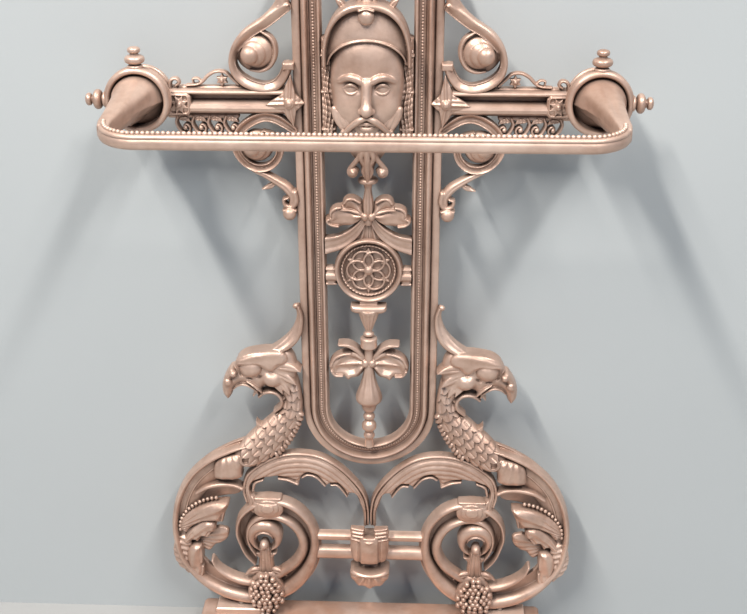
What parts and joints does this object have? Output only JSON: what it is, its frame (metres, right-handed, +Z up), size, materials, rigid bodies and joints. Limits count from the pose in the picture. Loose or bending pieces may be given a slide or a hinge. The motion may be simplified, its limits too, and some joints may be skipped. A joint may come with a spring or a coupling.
{
  "type": "cast iron umbrella stand",
  "caption": "Free-standing ornamental cast iron umbrella and stick stand: scrolled back with mask and griffins, looped stick rail, and a base with a lift-out drip tray.",
  "frame": {"origin": "middle of the bounding box, on the floor", "axes": "+X across the stand, +Y towards the wall behind it, +Z up; the stand faces -Y and is symmetric about X=0"},
  "size_m": [0.5292, 0.19, 0.875],
  "materials": {
    "bronze_paint": "satin copper-bronze paint over cast iron",
    "base_iron": "satin copper-bronze paint over cast iron",
    "tray_iron": "satin copper-bronze paint over cast iron, worn",
    "fixing_steel": "dull steel"
  },
  "bodies": {
    "stand": {"acanthus_left": "bronze_paint", "acanthus_right": "bronze_paint", "arch_volutes": "bronze_paint", "arm_cresting_left": "bronze_paint", "arm_cresting_right": "bronze_paint", "arm_fret_left": "bronze_paint", "arm_fret_right": "bronze_paint", "arm_stars": "bronze_paint", "base_bolts": "fixing_steel", "base_scroll_left": "bronze_paint", "base_scroll_right": "bronze_paint", "base_tray_stand": "base_iron", "boss_finials": "bronze_paint", "boss_rosette_left": "bronze_paint", "boss_rosette_right": "bronze_paint", "cross_arm_left": "bronze_paint", "cross_arm_right": "bronze_paint", "grape_bunch_left": "bronze_paint", "grape_bunch_right": "bronze_paint", "griffin_left": "bronze_paint", "griffin_right": "bronze_paint", "leaf_arch_left": "bronze_paint", "leaf_arch_right": "bronze_paint", "lower_bracket_left": "bronze_paint", "lower_bracket_right": "bronze_paint", "lower_leaf_spray": "bronze_paint", "mask_beard": "bronze_paint", "mask_face": "bronze_paint", "mask_hood": "bronze_paint", "mask_lappet_left": "bronze_paint", "mask_lappet_right": "bronze_paint", "medallion": "bronze_paint", "medallion_lugs": "bronze_paint", "medallion_pendant": "bronze_paint", "medallion_ribbons": "bronze_paint", "pendant_baluster": "bronze_paint", "pendant_block": "bronze_paint", "pendant_stem": "bronze_paint", "rail_boss_left": "bronze_paint", "rail_boss_right": "bronze_paint", "rail_collars": "bronze_paint", "rail_nuts": "fixing_steel", "rail_washers": "fixing_steel", "scroll_foot_left": "bronze_paint", "scroll_foot_right": "bronze_paint", "scroll_hook_left": "bronze_paint", "scroll_hook_right": "bronze_paint", "scroll_pearls": "bronze_paint", "stick_rail": "bronze_paint", "tie_bars": "bronze_paint", "tie_knop": "bronze_paint", "top_palmette": "bronze_paint", "upper_leaf_spray": "bronze_paint", "upper_scroll_left": "bronze_paint", "upper_scroll_right": "bronze_paint", "upright_frame": "bronze_paint"},
    "tray": {"drip_tray": "tray_iron"}
  },
  "joints": [
    {"name": "tray_lift", "type": "slide", "parent": "stand", "child": "tray", "axis": [0, 0, 1], "range_m": [0, 0.06]}
  ]
}
